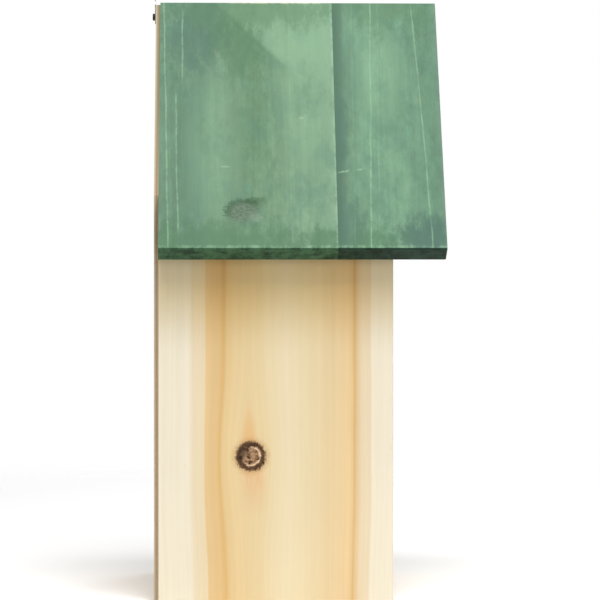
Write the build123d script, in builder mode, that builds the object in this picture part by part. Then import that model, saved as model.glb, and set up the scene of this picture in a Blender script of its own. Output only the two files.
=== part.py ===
from build123d import *
import math
import os

# A gabled nest box for small garden birds. Fir boards make the walls, thin plywood closes the back,
# and two steep slopes of stained boards make the roof. The front board hangs on two nails and swings
# out at the bottom for cleaning. Millimetres and degrees. +Z is up, the front looks along -Y. The
# origin is on the ground, at the middle of the box's overall footprint.

os.makedirs("parts", exist_ok=True)

# Overall sizes
body_width = 130.0  # over both side panels
body_depth = 129.0  # side panels, front edge to rear edge
eave_height = 193.0  # upper tip of the eave above the ground
eave_overhang = 17.0  # eave tip beyond the side panel, level
roof_depth = 157.5  # along the ridge
roof_slope = 60.0  # from level

# Boards
wall_thickness = 11.0
floor_thickness = 11.0
door_thickness = 11.0
roof_thickness = 12.0
back_thickness = 2.5
rear_board_depth = 98.0  # the wider of the two boards in each slope
ridge_blunting = 1.0  # sharp ridge planed down to a narrow flat
back_panel_drop = 1.4  # top of the back panel below the ridge flat
arris = 0.8  # rounding of the edges that a hand meets

# Front door
door_side_gap = 0.6
door_floor_gap = 0.4
door_ground_gap = 3.0
door_top_gap = 1.0
pivot_drop = 7.4  # pivot below the top of the side panel's outer face
entrance_radius = 16.0
entrance_above_floor = 134.0
entrance_rounding = 1.2
grip_length = 60.0
grip_width = 2.0
grip_depth = 1.5
grip_spacing = 12.0
grip_count = 5
grip_below_entrance = 12.0  # first kerf below the edge of the hole
notch_radius = 11.0

# Floor drains
drain_radius = 2.5
drain_inset = 22.0  # drains in from the edges of the floor

# Nails and pins
nail_radius = 1.4
nail_length = 30.0
nail_head_radius = 3.0
nail_head_thickness = 1.0
nail_point = 3.0
running_clearance = 0.08  # radial, round a piece that turns on a nail or a screw
nail_end_room = 1.5
brad_radius = 0.7
brad_head_radius = 1.0
brad_head_thickness = 0.5
back_brad_length = 20.0
floor_brad_length = 25.0
gable_brad_length = 25.0
brad_set = 1.5  # heads driven below the face of the walls and slopes, and stopped over
back_brad_heights = (22.0, 106.0, 183.0)  # above the ground, in each side panel
back_brad_shares = (0.28, 0.7)  # across each slope, of the body's half width
floor_brad_shares = (0.2, 0.5, 0.8)  # along the floor's end, from the front
eave_brad_shares = (-0.1, 0.15, 0.5, 0.85)  # from the seam towards the rear, of the rear board
eave_brad_cover = 0.6  # wood left between the brad's tip and the inner face
eave_brad_inset = 3.0  # brad in from the side panel's outer face
gable_brad_shares = (0.36, 0.78)  # from the ridge outwards, of the inner half width
rear_pin_shares = (0.25, 0.7)  # from the seam towards the rear, of the rear board
front_pin_shares = (0.25, 0.75)  # from the seam towards the front, of the front board
ridge_pin_length = 12.0
ridge_pin_drop = 12.0

# Hanger
hanger_gap = 0.1  # on either side of the plate, which turns on the screw
hanger_thickness = 0.5
hanger_foot_radius = 4.0
hanger_eye_radius = 3.4
hanger_hole_radius = 1.8
hanger_rise = 1.5  # top of the plate above the ridge flat
screw_drop = 8.3  # screw below the ridge flat
screw_radius = 1.2
screw_head_radius = 2.0
screw_head_height = 1.2
screw_head_rounding = 0.5
screw_length = 14.0
screw_point = 3.0
screw_recess_span = 2.4
screw_recess_width = 0.5
screw_recess_depth = 0.6

# Planes of the box, front to back and side to side
hanger_depth = 2 * hanger_gap + hanger_thickness + screw_head_height
screw_outer = (roof_depth + back_thickness + hanger_depth) / 2
hanger_outer = screw_outer - screw_head_height - hanger_gap
back_face = hanger_outer - hanger_thickness - hanger_gap
wall_rear = back_face - back_thickness
wall_front = wall_rear - body_depth
roof_front = wall_rear - roof_depth
roof_seam = wall_rear - rear_board_depth
half_width = body_width / 2
inner_half = half_width - wall_thickness

# Roof section
rise = math.tan(math.radians(roof_slope))
roof_half_width = half_width + eave_overhang
ridge_height = eave_height + roof_half_width * rise
ridge_flat = ridge_height - ridge_blunting
roof_drop = roof_thickness / math.cos(math.radians(roof_slope))
normal_x = math.sin(math.radians(roof_slope))
normal_z = math.cos(math.radians(roof_slope))
eave_inner_x = roof_half_width - roof_thickness * normal_x
eave_inner_z = eave_height - roof_thickness * normal_z


def roof_top(x):
    """Height of the slope's upper face, x from the ridge."""
    return ridge_height - abs(x) * rise


def roof_under(x):
    """Height of the slope's under face, x from the ridge."""
    return roof_top(x) - roof_drop


# Door and gable
pivot_height = roof_under(half_width) - pivot_drop
pivot_y = wall_front + door_thickness / 2
door_half_width = inner_half - door_side_gap
door_inner = wall_front + door_thickness
gable_bottom = pivot_height + door_thickness / 2 + door_top_gap
entrance_height = floor_thickness + entrance_above_floor

# Hanger heights
screw_height = ridge_flat - screw_drop
eye_height = ridge_flat + hanger_rise - hanger_eye_radius


def drive(places, length):
    """Drive a brad at each place, with the top of its head there. A place's +Z points out of the wood."""
    with Locations(*places):
        Cylinder(brad_radius, length, align=(Align.CENTER, Align.CENTER, Align.MAX))
        Cylinder(brad_head_radius, brad_head_thickness, align=(Align.CENTER, Align.CENTER, Align.MAX))


def slope_place(side, x, y):
    """Place of a set head in the slope, square above the point of its under face at x."""
    up = roof_thickness - brad_set
    origin = (side * (x + up * normal_x), y, roof_under(x) + up * normal_z)
    return Plane(origin=origin, z_dir=(side * normal_x, 0, normal_z))


# Brads through the back panel, heads flush, into the rear edges of the walls, the floor and the roof
wall_middle = half_width - wall_thickness / 2
roof_brad_x = [share * half_width for share in back_brad_shares]
back_brad_points = [(side * wall_middle, height) for side in (-1, 1) for height in back_brad_heights]
back_brad_points += [(side * inner_half / 2, floor_thickness / 2) for side in (-1, 1)]
back_brad_points += [(side * x, roof_top(x) - roof_drop / 2) for side in (-1, 1) for x in roof_brad_x]

with BuildPart() as back_brads:
    drive([Plane.back.offset(back_face) * Location(point) for point in back_brad_points], back_brad_length)

# Brads through the side panels into the floor's ends
floor_brad_y = [door_inner + share * (wall_rear - door_inner) for share in floor_brad_shares]
floor_brad_places = [
    Plane(origin=(side * (half_width - brad_set), y, floor_thickness / 2), z_dir=(side, 0, 0))
    for side in (-1, 1)
    for y in floor_brad_y
]

with BuildPart() as floor_brads:
    drive(floor_brad_places, floor_brad_length)

# Brads square through the slopes into the bevelled tops of the side panels
eave_brad_x = half_width - eave_brad_inset
eave_brad_length = roof_thickness - brad_set + (eave_brad_x - inner_half - eave_brad_cover) / normal_x
eave_brad_y = [roof_seam + share * rear_board_depth for share in eave_brad_shares]

with BuildPart() as eave_brads:
    drive([slope_place(side, eave_brad_x, y) for side in (-1, 1) for y in eave_brad_y], eave_brad_length)

# Brads square through the slopes into the edges of the gable panel
gable_brad_x = [share * inner_half for share in gable_brad_shares]

with BuildPart() as gable_brads:
    drive([slope_place(side, x, pivot_y) for side in (-1, 1) for x in gable_brad_x], gable_brad_length)

# Headless pins across the mitre at the ridge, two in each pair of boards
ridge_pin_y = [roof_seam + share * rear_board_depth for share in rear_pin_shares]
ridge_pin_y += [roof_seam - share * (roof_depth - rear_board_depth) for share in front_pin_shares]

with BuildPart() as ridge_pins:
    with Locations(*[(0, y, ridge_height - ridge_pin_drop) for y in ridge_pin_y]):
        Cylinder(brad_radius, ridge_pin_length, rotation=(0, 90, 0))

# The door's two hinge nails, through the side panels behind the eaves
nail_tip = half_width - nail_length
nail_outline = [
    (half_width + nail_head_thickness, 0),
    (half_width + nail_head_thickness, nail_head_radius),
    (half_width, nail_head_radius),
    (half_width, nail_radius),
    (nail_tip + nail_point, nail_radius),
    (nail_tip, 0),
]

with BuildPart() as pivot_nails:
    with BuildSketch(Plane(origin=(0, pivot_y, pivot_height), x_dir=(1, 0, 0), z_dir=(0, -1, 0))):
        with BuildLine():
            Polyline(*nail_outline, close=True)
        make_face()
    revolve(axis=Axis((0, pivot_y, pivot_height), (1, 0, 0)))
    mirror(about=Plane.YZ)

# Round-headed screw that holds the hanger, driven into the mitre of the two rear roof boards
screw_tip = screw_outer - screw_length
screw_outline = [
    (screw_outer, 0),
    (screw_outer, screw_head_radius),
    (screw_outer - screw_head_height, screw_head_radius),
    (screw_outer - screw_head_height, screw_radius),
    (screw_tip + screw_point, screw_radius),
    (screw_tip, 0),
]

with BuildPart() as hanger_screw:
    with BuildSketch(Plane(origin=(0, 0, screw_height), x_dir=(0, 1, 0), z_dir=(1, 0, 0))):
        with BuildLine():
            Polyline(*screw_outline, close=True)
        make_face()
    revolve(axis=Axis((0, 0, screw_height), (0, 1, 0)))
    fillet(edges().filter_by(GeomType.CIRCLE).sort_by(Axis.Y)[-1], screw_head_rounding)
    with BuildSketch(Plane.back.offset(screw_outer)):
        with Locations((0, screw_height)):
            Rectangle(screw_recess_span, screw_recess_width)
            Rectangle(screw_recess_width, screw_recess_span)
    extrude(amount=-screw_recess_depth, mode=Mode.SUBTRACT)

# Stamped hanger plate: a foot round the screw, an eye just above the ridge
with BuildPart() as hanger_plate:
    with BuildSketch(Plane.back.offset(hanger_outer)):
        with Locations((0, screw_height)):
            Circle(hanger_foot_radius)
        with Locations((0, eye_height)):
            Circle(hanger_eye_radius)
        make_hull()
        with Locations((0, eye_height)):
            Circle(hanger_hole_radius, mode=Mode.SUBTRACT)
        with Locations((0, screw_height)):
            Circle(screw_radius + running_clearance, mode=Mode.SUBTRACT)
    extrude(amount=-hanger_thickness)

# Side panels: upright planks, bevelled on top to meet the slopes
side_section = [
    (inner_half, 0),
    (half_width, 0),
    (half_width, roof_under(half_width)),
    (inner_half, roof_under(inner_half)),
]

with BuildPart() as right_side_panel:
    with BuildSketch(Plane.back.offset(wall_rear)):
        with BuildLine():
            Polyline(*[(-x, z) for x, z in side_section], close=True)
        make_face()
    extrude(amount=-body_depth)
    fillet(edges().filter_by(Axis.Z).group_by(Axis.Y)[0], arris)
    for nails in (back_brads, floor_brads, eave_brads, pivot_nails):
        add(nails.part, mode=Mode.SUBTRACT)

with BuildPart() as left_side_panel:
    mirror(right_side_panel.part, about=Plane.YZ)

# Floor between the side panels, behind the door, drained in four places
floor_front = door_inner + door_floor_gap
floor_depth = wall_rear - floor_front

with BuildPart() as floor_panel:
    with BuildSketch(Plane.XY):
        with Locations((0, (floor_front + wall_rear) / 2)):
            Rectangle(2 * inner_half, floor_depth)
            with GridLocations(2 * (inner_half - drain_inset), floor_depth - 2 * drain_inset, 2, 2):
                Circle(drain_radius, mode=Mode.SUBTRACT)
    extrude(amount=floor_thickness)
    for nails in (back_brads, floor_brads):
        add(nails.part, mode=Mode.SUBTRACT)

# Back panel of thin plywood, as wide as the body and cut to the slopes
back_top = ridge_flat - back_panel_drop
back_top_half = (ridge_height - back_top) / rise

with BuildPart() as back_panel:
    with BuildSketch(Plane.back.offset(back_face)):
        with BuildLine():
            Polyline(
                (-half_width, 0),
                (half_width, 0),
                (half_width, roof_top(half_width)),
                (back_top_half, back_top),
                (-back_top_half, back_top),
                (-half_width, roof_top(half_width)),
                close=True,
            )
        make_face()
    extrude(amount=-back_thickness)
    for nails in (back_brads, hanger_screw):
        add(nails.part, mode=Mode.SUBTRACT)

# Gable panel, fixed above the door between the side panels
with BuildPart() as front_gable_panel:
    with BuildSketch(Plane.front.offset(-wall_front)):
        with BuildLine():
            Polyline(
                (-inner_half, gable_bottom),
                (inner_half, gable_bottom),
                (inner_half, roof_under(inner_half)),
                (0, roof_under(0)),
                (-inner_half, roof_under(inner_half)),
                close=True,
            )
        make_face()
    extrude(amount=-door_thickness)
    add(gable_brads.part, mode=Mode.SUBTRACT)

# Roof slopes: two boards edge to edge, mitred at the ridge and cut square at the eave
roof_section = [
    (0, roof_under(0)),
    (0, ridge_flat),
    (ridge_blunting / rise, ridge_flat),
    (roof_half_width, eave_height),
    (eave_inner_x, eave_inner_z),
]


def roof_board(rear_y, depth):
    """Right-hand roof board, extruded forward from rear_y, with the eave's edges rounded."""
    with BuildSketch(Plane.back.offset(rear_y)) as section:
        with BuildLine():
            Polyline(*[(-x, z) for x, z in roof_section], close=True)
        make_face()
    extrude(section.sketch, amount=-depth)
    fillet(edges().filter_by(Axis.Y).sort_by(Axis.X)[-2:], arris)


with BuildPart() as roof_right_rear_board:
    roof_board(wall_rear, rear_board_depth)
    for nails in (back_brads, eave_brads, gable_brads, ridge_pins, hanger_screw):
        add(nails.part, mode=Mode.SUBTRACT)

with BuildPart() as roof_right_front_board:
    roof_board(roof_seam, roof_depth - rear_board_depth)
    exposed = faces().sort_by(Axis.Y)[0].edges().filter_by(lambda edge: edge.center().X > arris)
    fillet(exposed, arris)
    for nails in (eave_brads, gable_brads, ridge_pins):
        add(nails.part, mode=Mode.SUBTRACT)

with BuildPart() as roof_left_rear_board:
    mirror(roof_right_rear_board.part, about=Plane.YZ)

with BuildPart() as roof_left_front_board:
    mirror(roof_right_front_board.part, about=Plane.YZ)

# Front door: hangs from its rounded top on the two nails, with the entrance hole, a finger notch
# and saw kerfs inside that young birds climb by
door_height = pivot_height - door_ground_gap
grip_top = entrance_height - entrance_radius - grip_below_entrance
grip_heights = [grip_top - grip_spacing * step for step in range(grip_count)]

with BuildPart() as front_door:
    with BuildSketch(Plane.YZ):
        with Locations((pivot_y, door_ground_gap + door_height / 2)):
            Rectangle(door_thickness, door_height)
        with Locations((pivot_y, pivot_height)):
            Circle(door_thickness / 2)
    extrude(amount=door_half_width, both=True)
    fillet(edges().filter_by(Axis.Z).group_by(Axis.Y)[0], arris)
    with BuildSketch(Plane.front.offset(-wall_front)):
        with Locations((0, entrance_height)):
            Circle(entrance_radius)
        with Locations((0, door_ground_gap)):
            Circle(notch_radius)
    extrude(amount=-door_thickness, mode=Mode.SUBTRACT)
    entrance_edge = edges().filter_by(GeomType.CIRCLE).filter_by(lambda edge: edge.radius == entrance_radius)
    fillet(entrance_edge.sort_by(Axis.Y)[0], entrance_rounding)
    with Locations(*[(0, door_inner, height) for height in grip_heights]):
        Box(grip_length, 2 * grip_depth, grip_width, mode=Mode.SUBTRACT)
    for side in (-1, 1):
        with Locations(Plane(origin=(side * door_half_width, pivot_y, pivot_height), z_dir=(side, 0, 0))):
            Hole(nail_radius + running_clearance, door_half_width - nail_tip + nail_end_room)

pieces = {
    "back_panel": back_panel,
    "left_side_panel": left_side_panel,
    "right_side_panel": right_side_panel,
    "floor_panel": floor_panel,
    "front_gable_panel": front_gable_panel,
    "roof_left_rear_board": roof_left_rear_board,
    "roof_left_front_board": roof_left_front_board,
    "roof_right_rear_board": roof_right_rear_board,
    "roof_right_front_board": roof_right_front_board,
    "front_door": front_door,
    "pivot_nails": pivot_nails,
    "back_brads": back_brads,
    "floor_brads": floor_brads,
    "eave_brads": eave_brads,
    "gable_brads": gable_brads,
    "ridge_pins": ridge_pins,
    "hanger_plate": hanger_plate,
    "hanger_screw": hanger_screw,
}

for name, piece in pieces.items():
    piece.part.label = name
    export_step(piece.part, f"parts/{name}.step")
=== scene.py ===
import math

import bmesh
import bpy
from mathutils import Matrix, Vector


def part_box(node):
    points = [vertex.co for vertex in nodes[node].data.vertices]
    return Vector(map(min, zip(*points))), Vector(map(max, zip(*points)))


# A gabled nest box: fir boards, a thin plywood back, a steep roof stained green, a front board that
# swings out and a small steel hanger. Each section below finishes one piece or one group of like pieces.
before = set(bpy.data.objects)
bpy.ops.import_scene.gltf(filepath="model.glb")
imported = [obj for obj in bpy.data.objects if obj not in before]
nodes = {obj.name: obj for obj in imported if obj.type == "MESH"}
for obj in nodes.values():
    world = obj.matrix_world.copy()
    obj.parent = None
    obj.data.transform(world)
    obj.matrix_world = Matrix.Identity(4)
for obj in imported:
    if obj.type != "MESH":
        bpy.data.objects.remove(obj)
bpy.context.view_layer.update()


# ---------------------------------------------------------------------------------------------------
# Left side panel: one wide plain-sawn fir plank, planed and left bare. Its heart runs up the middle,
# golden between two orange latewood lines, with pale sapwood along both edges and one black-ringed knot.
# ---------------------------------------------------------------------------------------------------
MM = 1000.0  # millimetres in a metre


class Field:
    """A number that varies over a surface. Arithmetic on it adds Math nodes."""

    def __init__(self, finish, socket):
        self.finish = finish
        self.socket = socket

    def math(self, operation, *values):
        return self.finish.node("ShaderNodeMath", {"operation": operation}, values)

    def __add__(self, other):
        return self.math("ADD", self, other)

    def __radd__(self, other):
        return self.math("ADD", other, self)

    def __sub__(self, other):
        return self.math("SUBTRACT", self, other)

    def __rsub__(self, other):
        return self.math("SUBTRACT", other, self)

    def __mul__(self, other):
        return self.math("MULTIPLY", self, other)

    def __rmul__(self, other):
        return self.math("MULTIPLY", other, self)

    def __truediv__(self, other):
        return self.math("DIVIDE", self, other)

    def __pow__(self, other):
        return self.math("POWER", self, other)

    def __rpow__(self, other):
        return self.math("POWER", other, self)

    def __neg__(self):
        return self.math("MULTIPLY", self, -1.0)

    def __abs__(self):
        return self.math("ABSOLUTE", self)

    def root(self):
        return self.math("SQRT", self.math("MAXIMUM", self, 0.0))


class Finish:
    """A procedural material for one board or one kind of metal."""

    def __init__(self, name, roughness, specular=0.2, metallic=0.0):
        self.material = bpy.data.materials.new(name)
        self.material.use_nodes = True
        self.tree = self.material.node_tree
        self.shader = self.tree.nodes["Principled BSDF"]
        self.shader.inputs["Roughness"].default_value = roughness
        self.shader.inputs["Specular IOR Level"].default_value = specular
        self.shader.inputs["Metallic"].default_value = metallic

    def node(self, kind, settings, values, output=0):
        """Adds a node: its settings first, then the values or links of its sockets, by place or by name."""
        made = self.tree.nodes.new(kind)
        for name, value in settings.items():
            if name == "stops":
                self.set_stops(made.color_ramp.elements, value)
            else:
                setattr(made, name, value)
        pairs = values.items() if isinstance(values, dict) else enumerate(values)
        for key, value in pairs:
            if isinstance(value, Field):
                self.tree.links.new(value.socket, made.inputs[key])
            else:
                made.inputs[key].default_value = value
        return Field(self, made.outputs[output])

    def set_stops(self, elements, stops):
        while len(elements) < len(stops):
            elements.new(1.0)
        for element, (place, colour) in zip(elements, stops):
            element.position = place
            element.color = colour

    def place(self):
        """Where a point lies in the box's frame, in millimetres."""
        where = self.node("ShaderNodeTexCoord", {}, (), "Object")
        grown = self.node("ShaderNodeVectorMath", {"operation": "SCALE"}, {0: where, "Scale": MM})
        return [self.node("ShaderNodeSeparateXYZ", {}, (grown,), axis) for axis in "XYZ"]

    def noise(self, across, along, through=0.0, detail=2.0, roughness=0.5, seed=0.0):
        """Soft noise, from 0 to 1 with a mean of a half. One unit of a coordinate is about one blotch."""
        vector = self.node("ShaderNodeCombineXYZ", {}, (across, along, through))
        settings = {"noise_dimensions": "4D"}
        values = {"Vector": vector, "W": seed, "Scale": 1.0, "Detail": detail, "Roughness": roughness}
        return self.node("ShaderNodeTexNoise", settings, values, "Fac")

    def step(self, value, low, high):
        """0 below low, 1 above high, and smooth between. It falls instead where low is the larger."""
        settings = {"interpolation_type": "SMOOTHSTEP"}
        if low < high:
            return self.node("ShaderNodeMapRange", settings, (value, low, high, 0.0, 1.0))
        return self.node("ShaderNodeMapRange", settings, (value, high, low, 1.0, 0.0))

    def ramp(self, value, stops, interpolation="EASE"):
        made = self.node("ShaderNodeValToRGB", {"stops": stops}, (value,))
        made.socket.node.color_ramp.interpolation = interpolation
        return made

    def mix(self, share, first, second, blend="MIX"):
        """Second colour over the first, by that share."""
        settings = {"data_type": "RGBA", "blend_type": blend, "clamp_factor": True}
        return self.node("ShaderNodeMix", settings, {0: share, 6: first, 7: second}, 2)

    def shade(self, colour, amount):
        """Colour made lighter or darker: amount is 1 where it stays."""
        grey = self.node("ShaderNodeCombineXYZ", {}, (amount, amount, amount))
        return self.node("ShaderNodeVectorMath", {"operation": "MULTIPLY"}, (colour, grey))

    def paint(self, colour, roughness=None, height=None, relief=0.0001):
        """Joins the colour, the roughness and a height in 0 to 1, of that relief in metres."""
        self.tree.links.new(colour.socket, self.shader.inputs["Base Color"])
        if roughness is not None:
            self.tree.links.new(roughness.socket, self.shader.inputs["Roughness"])
        if height is not None:
            bump = self.node("ShaderNodeBump", {}, {"Strength": 1.0, "Distance": relief, "Height": height})
            self.tree.links.new(bump.socket, self.shader.inputs["Normal"])
        return self.material


def chart(red, green, blue):
    """Linear colour, with alpha, of a chart colour given in 0 to 255."""
    shares = [value / 255 for value in (red, green, blue)]
    return [s / 12.92 if s <= 0.04045 else ((s + 0.055) / 1.055) ** 2.4 for s in shares] + [1.0]


def dress(node_name, material):
    """Gives a CAD node its finish in every slot."""
    slots = nodes[node_name].data.materials
    slots.clear()
    slots.append(material)


# Colours of fir from the heart's middle to the sapwood, by millimetres from the heart on the face.
FIR_REACH = 70.0
FIR_DEPTH = 0.82  # how much of those colours is kept, so that the lights do not bleach them
HEART_DEPTH = 35.0  # of the tree's heart under the face
ARRIS = 0.2  # how far a sawn end's dirt reaches over its edge
PAST_BEVEL = 5.0  # lifts a board's upper end past its bevel, which is not sawn across the grain
EAVE_SHADE_TINT = (0.81, 0.73, 0.56, 1.0)  # painted shade: the warm darkening that the eave's shadow lays on those colours
EAVE_SHADE_ENDS = 54.0  # how far below the eave that painted shade starts
EAVE_SHADE_FULL = 14.0  # and where it is at its deepest
BUTT_LENGTH = 60.0  # of the low end, where the rings spread
FIR_REAR = [
    (0.0, chart(240, 223, 186)),
    (9.0, chart(239, 220, 178)),
    (17.0, chart(234, 210, 162)),
    (26.0, chart(234, 208, 157)),
    (31.6, chart(232, 202, 148)),
    (34.1, chart(224, 184, 121)),
    (37.0, chart(231, 196, 140)),
    (43.6, chart(233, 200, 146)),
    (44.8, chart(238, 219, 182)),
    (50.8, chart(239, 222, 188)),
    (53.8, chart(243, 233, 209)),
    (68.0, chart(243, 233, 208)),
]
FIR_FRONT = [
    (0.0, chart(240, 223, 186)),
    (8.0, chart(239, 221, 180)),
    (16.0, chart(236, 215, 172)),
    (25.0, chart(235, 209, 162)),
    (33.6, chart(238, 208, 158)),
    (36.2, chart(234, 201, 147)),
    (37.4, chart(222, 186, 125)),
    (39.0, chart(233, 202, 155)),
    (41.2, chart(236, 216, 181)),
    (46.0, chart(237, 218, 184)),
    (47.2, chart(243, 232, 207)),
    (68.0, chart(244, 234, 210)),
]


def fir(finish, across, along, depth, heart, ends, knots=(), seed=0.0, drift=0.0, eave=None):
    """Paints bare fir. Across, along and depth are millimetres over a board's face and into it; heart is
    where the heart lies across the face, and ends are the low and high ends of the grain. Knots give their
    place across, their height and their radius, drift spreads the rings toward the low end, and eave is the
    height of the eave, below which a warm painted shade for the eave's shadow darkens the board."""
    low_end, high_end = ends
    wander = finish.noise(across * 0.012, along * 0.006, depth * 0.012, seed=seed) - 0.5
    swirl = across + wander * 2.4
    for where, level, size in knots:
        gap = swirl - where
        rise = along - level
        near = (gap / (1.7 * size)) ** 2.0 + (rise / (4.2 * size)) ** 2.0
        swirl = where + gap * (1.0 - 0.72 * math.e ** -near)
    off = swirl - heart
    ring = (off * off + depth * depth - depth * (2.0 * HEART_DEPTH)).root()
    ring = ring * (1.0 + drift * finish.step(along, low_end + BUTT_LENGTH, low_end))
    fine = finish.noise(across * 0.35, along * 0.012, depth * 0.35, detail=3.0, seed=seed + 3.0)
    bands = ring + (fine - 0.5) * 1.3
    rear = finish.ramp(bands / FIR_REACH, [(at / FIR_REACH, colour) for at, colour in FIR_REAR])
    front = finish.ramp(bands / FIR_REACH, [(at / FIR_REACH, colour) for at, colour in FIR_FRONT])
    colour = finish.mix(finish.step(off, -1.5, 1.5), rear, front)
    # growth rings as soft lines that follow the bands, then short fibres
    line = finish.noise(ring * 0.42, along * 0.004, detail=3.0, roughness=0.62, seed=seed + 7.0)
    fibre = finish.noise(
        across * 2.6, along * 0.045, depth * 2.6, detail=3.0, roughness=0.6, seed=seed + 11.0
    )
    cloud = finish.noise(across * 0.035, along * 0.014, depth * 0.035, seed=seed + 13.0)
    tone = 1.0 + (line - 0.5) * 0.16 + (fibre - 0.5) * 0.07 + (cloud - 0.5) * 0.10
    colour = finish.shade(colour, tone * FIR_DEPTH)
    pore = finish.noise(across * 1.4, along * 0.10, depth, detail=1.0, seed=seed + 17.0)
    fleck = finish.step(pore, 0.70, 0.78)
    colour = finish.mix(fleck * 0.22, colour, chart(205, 165, 112))
    if eave is not None:
        # painted shade: the eave's shadow, laid into the colour as a deeper gold close under the eave
        eave_shade = finish.step(along, eave - EAVE_SHADE_ENDS, eave - EAVE_SHADE_FULL) * 0.9
        colour = finish.mix(eave_shade, colour, EAVE_SHADE_TINT, "MULTIPLY")
    height = fibre * 0.6 + line * 0.4
    for where, level, size in knots:
        colour, height = knot(finish, colour, height, across - where, along - level, size, seed)
    # sawn ends soak up dirt and show the rings darker
    foot = finish.step(along, low_end + ARRIS, low_end + ARRIS / 4)
    head = finish.step(along, high_end - ARRIS, high_end - ARRIS / 4)
    rings = finish.noise(ring * 1.1, 0.0, detail=2.0, seed=seed + 19.0)
    colour = finish.mix((foot + head) * (0.35 + rings * 0.5), colour, chart(196, 160, 112))
    return finish.paint(colour, 0.62 - (fibre - 0.5) * 0.12 + fleck * 0.05, height, 0.00012)


def knot(finish, colour, height, gap, rise, size, seed):
    """Lays a sound round knot over the wood: a dark bark ring, a brown heart and a flame of resin above."""
    rag = finish.noise(gap * 0.45, rise * 0.45, detail=3.0, roughness=0.65, seed=seed + 23.0) - 0.5
    burr = finish.noise(gap * 1.5, rise * 1.5, detail=3.0, roughness=0.75, seed=seed + 25.0) - 0.5
    round_out = (gap * gap + rise * rise * 1.02).root() / size
    wisp = finish.noise(gap * 2.4, rise * 0.35, detail=2.0, seed=seed + 27.0) - 0.5
    ragged = round_out + rag * 0.42 + burr * 0.34 + wisp * finish.step(round_out, 0.75, 1.1) * 0.5
    spread = finish.step(rise, 0.8 * size, 5.6 * size)
    tongue = finish.step(abs(gap + size * 0.12) / size + spread * 0.62, 0.72, 0.16)
    flame = tongue * finish.step(rise, 0.5 * size, 1.0 * size) * (1.0 - spread)
    colour = finish.mix(flame * 0.7, colour, chart(214, 166, 108))
    fall = finish.step(rise, -0.7 * size, -4.4 * size)
    skirt = finish.step(abs(gap + rise * 0.1) / size, 1.0, 0.3) * finish.step(rise, -0.6 * size, -1.1 * size)
    streak = finish.noise(gap * 1.1, rise * 0.12, detail=2.0, seed=seed + 31.0)
    colour = finish.mix(skirt * (1.0 - fall) * streak * 1.3, colour, chart(214, 168, 124))
    halo = finish.step(ragged, 1.5, 0.98)
    colour = finish.mix(halo * (0.5 + burr), colour, chart(186, 142, 90))
    mottle = finish.noise(
        gap * 0.42 + burr * 1.8, rise * 0.42 + rag, detail=3.0, roughness=0.7, seed=seed + 29.0
    )
    heart = finish.ramp(
        mottle,
        [(0.40, chart(58, 36, 20)), (0.49, chart(132, 100, 70)), (0.55, chart(176, 142, 106)),
         (0.66, chart(112, 80, 54))],
    )
    rim = finish.ramp(
        mottle * 0.6 + 0.2 + burr * 0.5,
        [(0.36, chart(46, 28, 16)), (0.5, chart(78, 52, 32)), (0.66, chart(128, 98, 68))],
    )
    crescent = finish.step(abs(round_out + rag * 0.2 - 0.62), 0.085, 0.02)
    crescent = crescent * finish.step(mottle, 0.38, 0.50)
    pale = crescent * finish.step(gap - rise * 0.3, -0.5 * size, 0.3 * size)
    heart = finish.mix(pale * 0.9, heart, chart(222, 190, 156))
    bark = finish.step(ragged, 0.68, 0.76)
    body = finish.mix(bark, heart, rim)
    shadow = finish.step(gap - rise * 0.5, -0.1 * size, -0.7 * size) * finish.step(ragged, 1.0, 0.55)
    body = finish.mix(shadow * 0.8, body, chart(38, 22, 14))
    inside = finish.step(ragged, 1.12, 0.92)
    colour = finish.mix(inside, colour, body)
    crack = inside * (bark * 0.7 + finish.step(mottle, 0.45, 0.36) * 0.6)
    return colour, height - crack * 2.4


low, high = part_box("left_side_panel")
rear_edge = high.y * MM
width = rear_edge - low.y * MM
tall = high.z * MM
eave_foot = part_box("roof_left_rear_board")[0].z * MM
finish = Finish("fir_left_side", 0.6)
x, y, z = finish.place()
material = fir(
    finish,
    across=rear_edge - y,
    along=z,
    depth=x - low.x * MM,
    heart=0.545 * width,
    ends=(0.0, tall + PAST_BEVEL),
    knots=[(0.392 * width, 79.3, 8.1)],
    seed=2.0,
    drift=0.03,
    eave=eave_foot,
)
dress("left_side_panel", material)

# ---------------------------------------------------------------------------------------------------
# Right side panel: the mirrored plank from another part of the tree, with two smaller knots.
# ---------------------------------------------------------------------------------------------------
low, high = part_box("right_side_panel")
finish = Finish("fir_right_side", 0.6)
x, y, z = finish.place()
material = fir(
    finish,
    across=rear_edge - y,
    along=z,
    depth=high.x * MM - x,
    heart=0.38 * width,
    ends=(0.0, tall + PAST_BEVEL),
    knots=[(0.7 * width, 141.0, 5.0), (0.3 * width, 36.0, 3.6)],
    seed=41.0,
    eave=eave_foot,
)
dress("right_side_panel", material)

# ---------------------------------------------------------------------------------------------------
# Floor: a shorter fir board with its grain across the box, and four drain holes.
# ---------------------------------------------------------------------------------------------------
low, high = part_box("floor_panel")
finish = Finish("fir_floor", 0.66)
x, y, z = finish.place()
material = fir(
    finish,
    across=y - low.y * MM,
    along=x,
    depth=z,
    heart=64.0,
    ends=(low.x * MM, high.x * MM),
    knots=[(34.0, 21.0, 4.2)],
    seed=57.0,
)
dress("floor_panel", material)

# ---------------------------------------------------------------------------------------------------
# Gable panel: the fixed triangle over the door, grain upright like the sides.
# ---------------------------------------------------------------------------------------------------
low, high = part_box("front_gable_panel")
finish = Finish("fir_gable", 0.6)
x, y, z = finish.place()
material = fir(
    finish,
    across=x - low.x * MM,
    along=z,
    depth=y - low.y * MM,
    heart=58.0,
    ends=(low.z * MM, high.z * MM + PAST_BEVEL),
    knots=[(37.0, low.z * MM + 47.0, 3.4)],
    seed=73.0,
)
dress("front_gable_panel", material)

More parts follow.
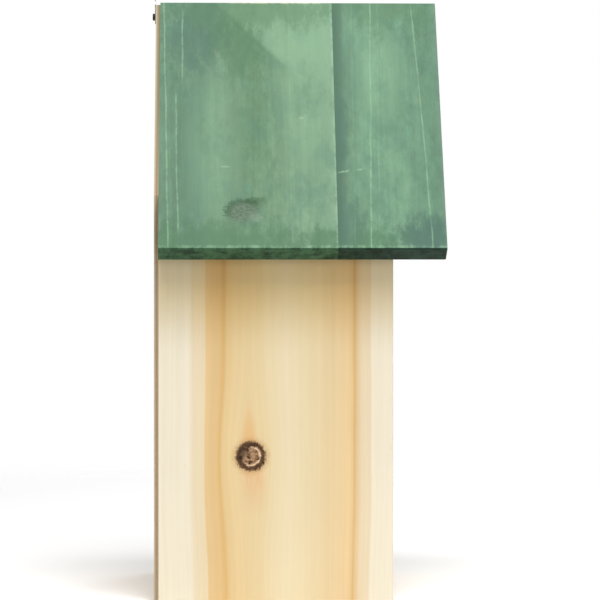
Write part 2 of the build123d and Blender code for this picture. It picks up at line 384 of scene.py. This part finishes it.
# ---------------------------------------------------------------------------------------------------
# Front door: the board that swings out, with the entrance hole. It was sawn from the same length as the
# gable, so its grain runs on from there.
# ---------------------------------------------------------------------------------------------------
low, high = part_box("front_door")
finish = Finish("fir_door", 0.6)
x, y, z = finish.place()
material = fir(
    finish,
    across=x - low.x * MM,
    along=z,
    depth=y - low.y * MM,
    heart=58.0,
    ends=(low.z * MM, high.z * MM + PAST_BEVEL),
    knots=[(84.0, 62.0, 5.6)],
    seed=73.0,
)
dress("front_door", material)

# ---------------------------------------------------------------------------------------------------
# Back panel: three thin plies. The faces are pale rotary-cut veneer with a wide wavy figure. The cut edges
# are brown and get paler toward the back, and above the eave the weather has bleached them.
# ---------------------------------------------------------------------------------------------------
low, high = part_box("back_panel")
finish = Finish("plywood", 0.66)
x, y, z = finish.place()
sway = finish.noise(x * 0.02, z * 0.007, detail=3.0, seed=5.0)
figure = finish.noise(sway * 14.0, z * 0.003, detail=3.0, roughness=0.6, seed=6.0)
pore = finish.noise(x * 2.2, z * 0.09, detail=2.0, seed=8.0)
eave_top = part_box("left_side_panel")[1].z * MM
face = finish.ramp(
    figure, [(0.3, chart(208, 176, 130)), (0.5, chart(224, 198, 155)), (0.7, chart(232, 210, 172))]
)
face = finish.mix(finish.step(pore, 0.62, 0.74) * 0.4, face, chart(176, 138, 94))
ply = (y - low.y * MM) / ((high.y - low.y) * MM)
grit = finish.noise(x * 0.5, y * 1.6, z * 0.5, detail=3.0, roughness=0.7, seed=9.0)
edge = finish.ramp(
    ply,
    [(0.0, chart(164, 143, 115)), (0.3, chart(162, 141, 112)), (0.36, chart(150, 128, 101)),
     (0.62, chart(158, 136, 109)), (0.68, chart(178, 159, 133)), (1.0, chart(190, 173, 150))],
)
edge = finish.shade(edge, 0.74 + grit * 0.36)
bleach_starts = eave_top - 20.0
bleach_full = eave_top + 90.0
bled = finish.step(z, bleach_starts, bleach_full)
bleached = finish.ramp(
    ply, [(0.1, chart(106, 101, 78)), (0.45, chart(132, 126, 98)), (0.9, chart(178, 170, 138))]
)
edge = finish.mix(bled * 0.85, edge, bleached)
half = high.x * MM
slope = math.radians(60)
blunt = 2.4  # how much of the panel's point is cut off
slope_gap = (high.z * MM + blunt - z) / math.tan(slope) - abs(x)
rim = finish.step(half - abs(x), 0.25, 0.08)
rim = rim + finish.step(slope_gap, 0.6, 0.1) + finish.step(z, 0.25, 0.08)
dress("back_panel", finish.paint(finish.mix(rim, face, edge), None, pore * 0.6 + grit * 0.4, 0.0001))

# ---------------------------------------------------------------------------------------------------
# Roof boards: fir brushed with a thin green stain. It pools darker in the soft wood and along the glue line,
# leaves hard grain lines pale, and soaks deep into the sawn eave ends, which also carry painted shade for
# their downward face.
# ---------------------------------------------------------------------------------------------------
STAIN_DEPTH = 0.605  # how much of the tones is kept, so that the lights do not bleach them
STAIN_PALE = chart(150, 190, 154)
STAIN_RELIEF = 0.00016  # metres
RIDGE_BLUNT = 1.0  # how much of the mitred ridge is cut off
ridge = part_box("roof_left_rear_board")[1].z * MM + RIDGE_BLUNT
roof_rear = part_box("roof_left_rear_board")[1].y * MM
roof_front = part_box("roof_left_front_board")[0].y * MM
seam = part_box("roof_left_front_board")[1].y * MM
slope_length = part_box("roof_right_rear_board")[1].x * MM / math.cos(slope)
rear_depth = roof_rear - seam
roof_depth = roof_rear - roof_front


def on_slope(finish, sign):
    """Millimetres from the roof's rear edge, from the ridge down the slope, and into the board."""
    x, y, z = finish.place()
    out = x * sign
    down = out * math.cos(slope) + (ridge - z) * math.sin(slope)
    depth = (ridge - z) * math.cos(slope) - out * math.sin(slope)
    return roof_rear - y, down, depth


def patch(finish, back, down, centre, size, rag, soft=0.45):
    """1 inside a ragged oval round a point of the slope, 0 outside, with a soft rim."""
    gap = (back - centre[0]) / size[0]
    fall = (down - centre[1]) / size[1]
    return finish.step((gap * gap + fall * fall).root() + rag, 1.0 + soft, 1.0 - soft)


def stain(finish, back, down, depth, tones, seed):
    """Lays the stain over a board, with tones as the colours across it. Returns the colour and the noises
    that its blotches, scratches and relief follow."""
    first = tones[0][0]
    reach = tones[-1][0] - first
    wander = finish.noise(back * 0.05, down * 0.012, detail=2.0, seed=seed) - 0.5
    stops = [((at - first) / reach, tone) for at, tone in tones]
    colour = finish.ramp((back + wander * 6.0 - first) / reach, stops)
    wash = finish.noise(
        back * 0.05, down * 0.026, depth * 0.05, detail=5.0, roughness=0.68, seed=seed + 1.0
    )
    mottle = finish.noise(
        back * 0.20, down * 0.10, depth * 0.2, detail=5.0, roughness=0.72, seed=seed + 4.0
    )
    strip = finish.noise(
        back * 0.33, down * 0.010, depth * 0.3, detail=3.0, roughness=0.6, seed=seed + 2.0
    )
    fibre = finish.noise(
        back * 2.4, down * 0.05, depth * 2.4, detail=3.0, roughness=0.6, seed=seed + 3.0
    )
    cool = finish.noise(back * 0.07, down * 0.05, detail=3.0, roughness=0.6, seed=seed + 5.0)
    colour = finish.mix(finish.step(cool, 0.46, 0.62) * 0.38, colour, chart(106, 150, 128))
    warm = finish.noise(back * 0.10, down * 0.07, detail=4.0, roughness=0.7, seed=seed + 6.0)
    colour = finish.mix(finish.step(warm, 0.55, 0.70) * 0.30, colour, chart(142, 166, 126))
    uneven = (wash - 0.5) * 0.75 + (mottle - 0.5) * 0.62 + (strip - 0.5) * 0.36 + (fibre - 0.5) * 0.2
    colour = finish.shade(colour, (1.0 + uneven) * STAIN_DEPTH)
    touch = finish.noise(back * 0.55, down * 0.15, detail=4.0, roughness=0.72, seed=seed + 8.0)
    colour = finish.mix(finish.step(touch, 0.60, 0.76) * 0.30, colour, STAIN_PALE)
    rag = (wash - 0.5) * 2.6 + (mottle - 0.5) * 2.2
    return colour, rag, mottle, strip, fibre


def scratch(finish, back, down, start, lean, mottle, width=0.42, bow=0.0, span=(-20.0, 200.0)):
    """1 on a thin line that wanders down the slope. It starts at that distance from the rear edge, leans and
    bows by those shares, and is kept within a span of the slope."""
    drift = finish.noise(down * 0.035, 0.0, detail=2.0, seed=start) - 0.5
    line = abs(back - down * lean - down * down * bow - start + drift * 1.8)
    first, last = span
    kept = finish.step(down, first - 4.0, first + 4.0) * finish.step(down, last + 4.0, last - 4.0)
    broken = 0.35 + finish.step(mottle, 0.40, 0.60) * 0.65
    return finish.step(line, width + 0.3, width * 0.3) * kept * broken


def soak_and_shade_end(finish, colour, back, down, mottle, depth, dark, light):
    """Darkens the sawn eave end, partly with stain soaked into its end grain and partly with painted shade
    for the end's downward face, and brings out that end grain under a patchy pale band along the arris.
    """
    slant = finish.noise(back * 0.08 + depth * 0.10, depth * 0.22, detail=3.0, seed=77.0)
    # a patchy pale band on the slope, 1.2 to 2.6 mm above the eave end
    pale_arris_band = finish.step(down, slope_length - 2.6, slope_length - 1.2) * finish.step(mottle, 0.44, 0.62)
    colour = finish.mix(pale_arris_band * 0.35, colour, STAIN_PALE)
    # the end face: stain soaked into the end grain, and painted shade for its downward face
    end = finish.step(down, slope_length - 0.45, slope_length - 0.1)
    streaked = finish.step(mottle * 0.7 + slant * 0.3, 0.38, 0.60)
    return finish.mix(end, colour, finish.mix(streaked, dark, light))


REAR_TONES = [
    (0.0, chart(124, 160, 131)),
    (5.0, chart(120, 159, 129)),
    (12.0, chart(114, 152, 124)),
    (22.0, chart(118, 157, 128)),
    (33.0, chart(130, 168, 136)),
    (42.0, chart(124, 160, 127)),
    (52.0, chart(121, 160, 125)),
    (64.0, chart(133, 172, 137)),
    (78.0, chart(138, 176, 142)),
    (90.0, chart(134, 173, 140)),
    (98.0, chart(144, 181, 149)),
]
FRONT_TONES = [
    (98.0, chart(102, 140, 115)),
    (101.5, chart(106, 146, 119)),
    (105.0, chart(122, 164, 133)),
    (120.0, chart(132, 177, 143)),
    (133.0, chart(128, 172, 139)),
    (145.0, chart(122, 166, 135)),
    (152.0, chart(116, 160, 129)),
    (157.5, chart(120, 158, 133)),
]
# Blotches of the left slope: centre and half size, back and down in millimetres, then how strongly and to
# which tone they turn the stain.
SHADE_GREEN = chart(78, 114, 84)
SHADE_BLUE = chart(74, 105, 92)
BRIGHT_GREEN = chart(146, 186, 150)
LEFT_BLOTCHES = [
    ((18.0, 22.0), (17.0, 26.0), 0.50, SHADE_BLUE),
    ((44.0, 34.0), (12.0, 20.0), 0.45, SHADE_GREEN),
    ((30.0, 100.0), (14.0, 42.0), 0.14, BRIGHT_GREEN),
    ((54.0, 78.0), (10.0, 40.0), 0.25, SHADE_GREEN),
    ((84.0, 64.0), (14.0, 44.0), 0.16, BRIGHT_GREEN),
    ((30.0, 161.0), (44.0, 14.0), 0.62, SHADE_GREEN),
    ((50.0, 6.0), (60.0, 12.0), 0.50, SHADE_GREEN),
    ((90.0, 160.0), (9.0, 9.0), 0.70, SHADE_GREEN),
]
LEFT_FRONT_BLOTCHES = [
    ((101.5, 86.0), (3.4, 22.0), 0.50, SHADE_BLUE),
    ((105.0, 152.0), (7.0, 18.0), 0.50, SHADE_BLUE),
    ((122.0, 44.0), (12.0, 30.0), 0.14, BRIGHT_GREEN),
    ((148.0, 163.0), (22.0, 18.0), 0.90, SHADE_BLUE),
    ((128.0, 4.0), (30.0, 16.0), 0.50, SHADE_GREEN),
    ((120.0, 163.0), (16.0, 14.0), 0.60, SHADE_GREEN),
]

# Marks of the left slope, in the same millimetres.
WEDGE_BACK = 31.0
WEDGE_LEAN = 1.12
SCAR_BACK = 46.5
SCAR_DOWN = 140.0
SLIP_BACK = 106.0
SLIP_DOWN = 114.0
BARE_RIDGE_BACK = 66.0


def brush_out(node_name, finish, colour, lines, rag, mottle, strip, fibre):
    """Joins a board's colour, roughness and relief, and gives them to its node."""
    height = fibre * 0.5 + strip * 0.3 + mottle * 0.3 + lines * 0.25
    dress(node_name, finish.paint(colour, 0.6 - rag * 0.06, height, STAIN_RELIEF))


for side, seed in (("left", 100.0), ("right", 160.0)):
    sign = -1.0 if side == "left" else 1.0
    finish = Finish("green_stain_%s_rear" % side, 0.5, specular=0.15)
    back, down, depth = on_slope(finish, sign)
    colour, rag, mottle, strip, fibre = stain(finish, back, down, depth, REAR_TONES, seed)
    if side == "left":
        # a brush load that stopped short leaves a paler wedge below the ridge, with a wet edge
        wedge = down - (back - WEDGE_BACK) * WEDGE_LEAN + rag * 1.6
        fade = finish.step(down, 62.0, 26.0)
        dry = finish.step(wedge, 2.2, -2.2) * finish.step(back, 28.0, 34.0) * fade
        wet = finish.step(wedge, 34.0, 3.0) * finish.step(wedge, -1.8, 2.2)
        wet = wet * finish.step(back, 18.0, 44.0) * fade
        colour = finish.mix(wet * 0.36, colour, SHADE_GREEN)
        colour = finish.mix(dry * 0.22, colour, BRIGHT_GREEN)
        for at, size, share, tone in LEFT_BLOTCHES:
            colour = finish.mix(patch(finish, back, down, at, size, rag) * share, colour, tone)
        # the scar of a knot that the saw just missed: short grey grain inside a torn dark rim
        grain = finish.noise(back * 0.5, down * 0.9, detail=4.0, roughness=0.7, seed=seed + 40.0)
        shred = (grain - 0.5) * 1.1 + (fibre - 0.5) * 0.8 + rag * 0.12
        gap = back - SCAR_BACK
        fall = down - SCAR_DOWN
        aside = (gap + fall * 0.25) / 9.4
        below = (fall - gap * 0.12) / 7.2
        scar = (aside * aside + below * below).root() + shred
        grey = finish.mix(finish.step(grain, 0.40, 0.62), chart(70, 90, 72), chart(108, 120, 104))
        colour = finish.mix(finish.step(scar, 1.15, 0.65) * 0.75, colour, grey)
        chip = patch(finish, gap, fall, (6.5, 4.0), (3.6, 3.0), shred * 2.2)
        colour = finish.mix(chip * 0.22, colour, chart(150, 168, 146))
        torn = finish.step(abs(scar - 0.95), 0.34, 0.06) * finish.step(aside + below * 1.2, 0.9, -0.7)
        flake = patch(finish, gap, fall, (5.5, -6.6), (6.0, 2.2), shred * 1.6)
        colour = finish.mix(torn * 0.6, colour, chart(50, 80, 52))
        colour = finish.mix(flake * 0.5, colour, chart(50, 80, 52))
        for at, size in (((36.6, 111.4), (2.4, 0.6)), ((79.3, 79.4), (1.2, 0.9))):
            nick = patch(finish, back, down, at, size, shred * 1.4)
            colour = finish.mix(nick * 0.3, colour, chart(160, 188, 158))
    lines = (
        scratch(finish, back, down, 2.0, 0.021, mottle)
        + scratch(finish, back, down, 12.6, 0.004, mottle, span=(8.0, 54.0))
        + scratch(finish, back, down, 7.6, 0.020, mottle, span=(64.0, 152.0))
        + scratch(finish, back, down, 73.0, 0.0, mottle, 0.2) * 0.3
        + scratch(finish, back, down, 62.0, 0.01, mottle, 0.2, span=(88.0, 150.0)) * 0.3
    )
    colour = finish.mix(lines * 0.4, colour, STAIN_PALE)
    seam_rim = finish.step(back, rear_depth - 1.6, rear_depth - 0.5)
    colour = finish.mix(seam_rim * finish.step(mottle, 0.4, 0.56) * 0.3, colour, STAIN_PALE)
    bare = finish.step(down, 2.2, 0.8) * finish.step(abs(back - BARE_RIDGE_BACK), 30.0, 22.0)
    colour = finish.mix(bare * finish.step(mottle, 0.40, 0.55) * 0.75, colour, chart(206, 206, 150))
    colour = soak_and_shade_end(finish, colour, back, down, mottle, depth, chart(28, 54, 36), chart(62, 96, 68))
    brush_out("roof_%s_rear_board" % side, finish, colour, lines, rag, mottle, strip, fibre)

    finish = Finish("green_stain_%s_front" % side, 0.5, specular=0.15)
    back, down, depth = on_slope(finish, sign)
    colour, rag, mottle, strip, fibre = stain(finish, back, down, depth, FRONT_TONES, seed + 20.0)
    pool = finish.step(back - rear_depth, 7.0, 1.0) * (0.35 + rag * 0.5)
    colour = finish.mix(pool, colour, chart(62, 88, 76))
    if side == "left":
        for at, size, share, tone in LEFT_FRONT_BLOTCHES:
            colour = finish.mix(patch(finish, back, down, at, size, rag) * share, colour, tone)
        # a slip of the sandpaper, across the grain beside the seam
        gap = back - SLIP_BACK
        slip = finish.step(abs(down - SLIP_DOWN + gap * 0.16 + rag * 0.6), 0.9, 0.2)
        slip = slip * finish.step(abs(gap), 9.0, 5.0) * finish.step(mottle, 0.44, 0.56)
        colour = finish.mix(slip * 0.45, colour, STAIN_PALE)
    lines = (
        scratch(finish, back, down, 119.9, -0.024, mottle, 0.42)
        + scratch(finish, back, down, 143.0, 0.055, mottle, 0.36, bow=-0.00009)
        + scratch(finish, back, down, 124.0, -0.02, mottle, 0.2) * 0.4
        + scratch(finish, back, down, 109.0, -0.01, mottle, 0.2) * 0.3
    )
    colour = finish.mix(lines * 0.4, colour, STAIN_PALE)
    dry_rim = finish.step(back, roof_depth - 1.3, roof_depth - 0.3)
    colour = finish.mix(dry_rim * 0.4, colour, chart(120, 140, 122))
    colour = soak_and_shade_end(finish, colour, back, down, mottle, depth, chart(16, 34, 26), chart(34, 60, 44))
    brush_out("roof_%s_front_board" % side, finish, colour, lines, rag, mottle, strip, fibre)

# ---------------------------------------------------------------------------------------------------
# Nails, brads and pins: plain steel wire. Those in the back are flush, those in the walls and slopes
# are set under the face and stopped over, and the two hinge nails keep their flat heads.
# ---------------------------------------------------------------------------------------------------
def metal(name, colour, roughness, blotch, seed):
    """Dull metal with soft blotches and rubbed spots."""
    finish = Finish(name, roughness, metallic=1.0)
    x, y, z = finish.place()
    cloud = finish.noise(x * 0.9, y * 0.9, z * 0.9, detail=4.0, roughness=0.6, seed=seed)
    tint = finish.ramp(cloud, [(0.3, [c * (1.0 - blotch) for c in colour[:3]] + [1.0]), (0.7, colour)])
    return finish.paint(tint, roughness + (cloud - 0.5) * 0.3, cloud, 0.00003)


wire = metal("bright_wire", chart(150, 146, 138), 0.42, 0.35, 3.0)
for node_name in ("back_brads", "floor_brads", "eave_brads", "gable_brads", "ridge_pins", "pivot_nails"):
    dress(node_name, wire)

# ---------------------------------------------------------------------------------------------------
# Hanger: a small stamped plate of zinc-plated steel, turning on one blackened round-headed screw that
# stands proud of it.
# ---------------------------------------------------------------------------------------------------
dress("hanger_plate", metal("zinc_plate", chart(176, 176, 172), 0.38, 0.3, 21.0))
dress("hanger_screw", metal("blackened_screw", chart(58, 48, 38), 0.45, 0.5, 27.0))

# ---------------------------------------------------------------------------------------------------
# Studio: a round pale floor that fades out at its rim, a large soft light overhead, a broad one by the
# camera and a weak fill, in a white room.
# ---------------------------------------------------------------------------------------------------
FLOOR_RADIUS = 0.9
FLOOR_FADE = 0.55
sweep = bmesh.new()
bmesh.ops.create_circle(sweep, cap_ends=True, segments=96, radius=FLOOR_RADIUS)
mesh = bpy.data.meshes.new("studio_floor")
sweep.to_mesh(mesh)
sweep.free()
floor = bpy.data.objects.new("studio_floor", mesh)
bpy.context.scene.collection.objects.link(floor)
pale = Finish("studio_floor", 0.9, specular=0.0)
pale.shader.inputs["Base Color"].default_value = chart(251, 251, 251)
x, y, z = pale.place()
reach = (x * x + y * y).root() / MM
shown = pale.step(reach, FLOOR_RADIUS, FLOOR_FADE)
pale.tree.links.new(shown.socket, pale.shader.inputs["Alpha"])
mesh.materials.append(pale.material)


def softbox(name, place, aim, size, power):
    """A square area light at place, facing aim."""
    light = bpy.data.lights.new(name, "AREA")
    light.shape = "SQUARE"
    light.size = size
    light.energy = power
    lamp = bpy.data.objects.new(name, light)
    lamp.location = place
    lamp.rotation_euler = (Vector(aim) - Vector(place)).to_track_quat("-Z", "Y").to_euler()
    bpy.context.scene.collection.objects.link(lamp)


middle = Vector((0.0, 0.0, 0.17))
softbox("overhead", (-0.8, -0.1, 1.75), middle, 1.2, 32.0)
softbox("camera_side", (-2.0, -0.9, 1.0), middle, 1.2, 9.0)
softbox("far_side", (1.6, -1.2, 1.1), middle, 1.4, 13.0)

# The room lights the box softly, and looks plain white behind it.
ROOM_LIGHT = 0.40
world = bpy.data.worlds.new("studio")
world.use_nodes = True
room = world.node_tree
path = room.nodes.new("ShaderNodeLightPath")
backdrop = room.nodes.new("ShaderNodeBackground")
backdrop.inputs["Strength"].default_value = 1.0
backdrop.inputs["Color"].default_value = (1.0, 1.0, 1.0, 1.0)
room.nodes["Background"].inputs["Color"].default_value = (1.0, 1.0, 1.0, 1.0)
room.nodes["Background"].inputs["Strength"].default_value = ROOM_LIGHT
choice = room.nodes.new("ShaderNodeMixShader")
room.links.new(path.outputs["Is Camera Ray"], choice.inputs[0])
room.links.new(room.nodes["Background"].outputs[0], choice.inputs[1])
room.links.new(backdrop.outputs[0], choice.inputs[2])
room.links.new(choice.outputs[0], room.nodes["World Output"].inputs["Surface"])
bpy.context.scene.world = world
bpy.context.scene.view_settings.view_transform = "Standard"

# Level camera on the -X side, at the height of the eave, with the frame shifted down to the whole box.
CAMERA_PLACE = (-1.54, 0.0513, 0.1944)
CAMERA_AIM_Y = -0.0034
CAMERA_LENS = 161.2
CAMERA_SHIFT = -0.089
camera_data = bpy.data.cameras.new("camera")
camera_data.sensor_width = 36.0
camera_data.lens = CAMERA_LENS
camera_data.shift_y = CAMERA_SHIFT
camera_data.clip_end = 50.0
camera = bpy.data.objects.new("camera", camera_data)
camera.location = CAMERA_PLACE
aim = Vector((0.0, CAMERA_AIM_Y, camera.location.z)) - camera.location
camera.rotation_euler = aim.to_track_quat("-Z", "Y").to_euler()
bpy.context.scene.collection.objects.link(camera)
bpy.context.scene.camera = camera
